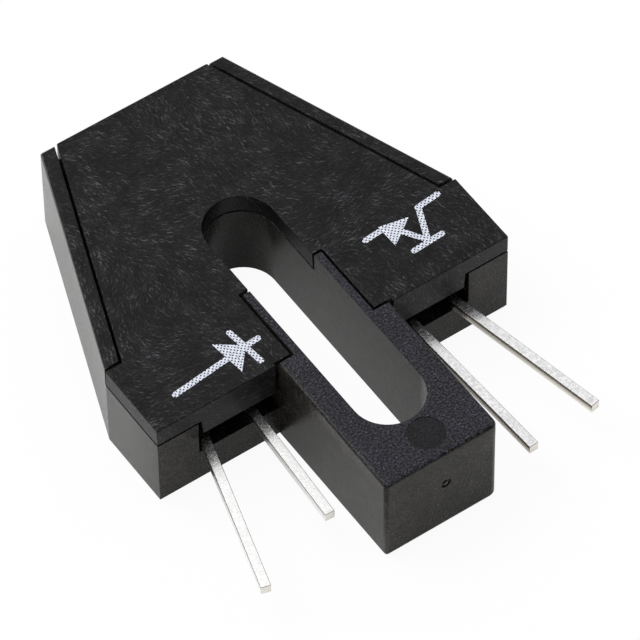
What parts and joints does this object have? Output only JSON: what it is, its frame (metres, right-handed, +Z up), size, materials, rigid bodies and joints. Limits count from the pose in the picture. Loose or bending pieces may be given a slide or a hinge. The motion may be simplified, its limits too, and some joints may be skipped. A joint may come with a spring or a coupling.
{
  "type": "slotted optical switch",
  "caption": "Slotted optical switch: a black two-part housing with a slotted tongue, holding an infrared lamp and a phototransistor on wire leads.",
  "frame": {"origin": "middle of the whole part's box, leads included, on the housing's bottom face", "axes": "+Z up through the cover; +Y from the tongue and the leads towards the narrow back; +X to the phototransistor's side"},
  "size_m": [0.0194, 0.0253, 0.0053],
  "materials": {
    "housing_plastic": "fibre-filled moulding, spark-eroded texture",
    "cover_plastic": "fibre-filled moulding, fine pale swirls",
    "lamp_epoxy": "smooth cast",
    "phototransistor_epoxy": "smooth cast",
    "tinned_lead": "solder-dipped, drawn along its length",
    "chip": "polished",
    "bond_wire": "drawn"
  },
  "bodies": {
    "root": {"base_housing": "housing_plastic", "top_cover": "cover_plastic", "lamp_body": "lamp_epoxy", "lamp_cathode_lead": "tinned_lead", "lamp_anode_lead": "tinned_lead", "lamp_chip": "chip", "lamp_bond_wire": "bond_wire", "phototransistor_body": "phototransistor_epoxy", "phototransistor_collector_lead": "tinned_lead", "phototransistor_emitter_lead": "tinned_lead", "phototransistor_chip": "chip", "phototransistor_bond_wire": "bond_wire"}
  },
  "joints": []
}
